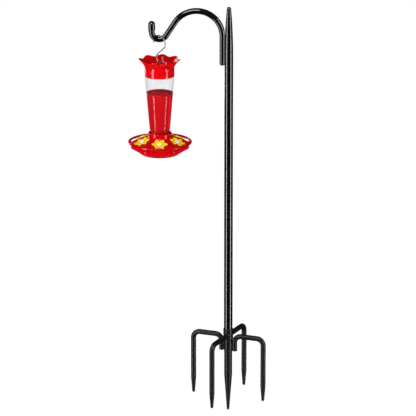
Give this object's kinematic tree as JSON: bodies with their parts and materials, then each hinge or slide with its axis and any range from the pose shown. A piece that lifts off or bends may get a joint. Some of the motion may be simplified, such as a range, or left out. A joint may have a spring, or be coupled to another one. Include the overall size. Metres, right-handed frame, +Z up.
{
  "type": "hummingbird feeder on shepherd's hook pole",
  "caption": "Shepherd's hook pole with a prong ground base and a red nectar feeder that hangs from it on a wire S-hook, with petal cap, clear bottle, flower ports and perch ring.",
  "frame": {"origin": "on the pole's axis at ground level, the underside of the base's arms", "axes": "+Z up along the pole; the crook reaches along -X; +Y away from the viewer"},
  "size_m": [0.303, 0.1608, 0.9238],
  "materials": {
    "black_steel": "gloss black powder coat",
    "painted_weld": "powder coat over a rippled bead",
    "zinc_steel": "zinc plated",
    "hook_wire": "satin",
    "red_plastic": "glossy, slightly translucent",
    "clear_plastic": "clear, glossy",
    "nectar": "clear red liquid",
    "yellow_plastic": "satin",
    "white_plastic": "satin",
    "silicone": "matt"
  },
  "bodies": {
    "stand": {"spike": "black_steel", "base_collar": "black_steel", "prong_1": "black_steel", "prong_2": "black_steel", "prong_3": "black_steel", "prong_4": "black_steel", "prong_welds": "painted_weld", "lower_pole": "black_steel", "lower_insert": "zinc_steel", "joint_stud": "zinc_steel", "upper_insert": "zinc_steel", "upper_pole": "black_steel", "crook": "black_steel", "crook_welds": "painted_weld"},
    "hanger": {"s_hook": "hook_wire"},
    "cap": {"flower_cap": "red_plastic"},
    "cap_seal": {"cap_gasket": "silicone"},
    "bottle": {"bottle": "clear_plastic", "nectar": "nectar"},
    "tray_seal": {"neck_seal": "silicone"},
    "tray": {"tray_cover": "red_plastic", "perch_ring": "red_plastic", "flower_1": "yellow_plastic", "flower_2": "yellow_plastic", "flower_3": "yellow_plastic", "flower_4": "yellow_plastic", "flower_5": "yellow_plastic", "flower_6": "yellow_plastic", "port_1": "white_plastic", "port_2": "white_plastic", "port_3": "white_plastic", "port_4": "white_plastic", "port_5": "white_plastic", "port_6": "white_plastic"},
    "bowl": {"bowl": "red_plastic", "bowl_seal": "silicone"}
  },
  "joints": [
    {"name": "hanger_swing", "type": "hinge", "parent": "stand", "child": "hanger", "pos_m": [-0.15006, 0, 0.6815], "axis": [1, 0, 0], "range_deg": [-20, 20]},
    {"name": "feeder_swing", "type": "hinge", "parent": "hanger", "child": "cap", "pos_m": [-0.15006, 0, 0.6333], "axis": [0.788, 0.6157, 0], "range_deg": [-20, 20]},
    {"name": "bottle_travel", "type": "slide", "parent": "cap", "child": "cap_seal", "axis": [0, 0, -1], "range_m": [0, 0.008]},
    {"name": "bottle_turn", "type": "hinge", "parent": "cap_seal", "child": "bottle", "pos_m": [-0.15006, 0, 0.6], "axis": [0, 0, -1], "range_deg": [0, 720]},
    {"name": "tray_travel", "type": "slide", "parent": "bottle", "child": "tray_seal", "axis": [0, 0, -1], "range_m": [0, 0.008]},
    {"name": "tray_turn", "type": "hinge", "parent": "tray_seal", "child": "tray", "pos_m": [-0.15006, 0, 0.47], "axis": [0, 0, -1], "range_deg": [0, 720]},
    {"name": "bowl_pull", "type": "slide", "parent": "tray", "child": "bowl", "axis": [0, 0, -1], "range_m": [0, 0.03]}
  ],
  "couplings": [
    {"joint": "bottle_travel", "follows": "bottle_turn", "m_per_rad": 0.00063662},
    {"joint": "tray_travel", "follows": "tray_turn", "m_per_rad": 0.00063662}
  ]
}
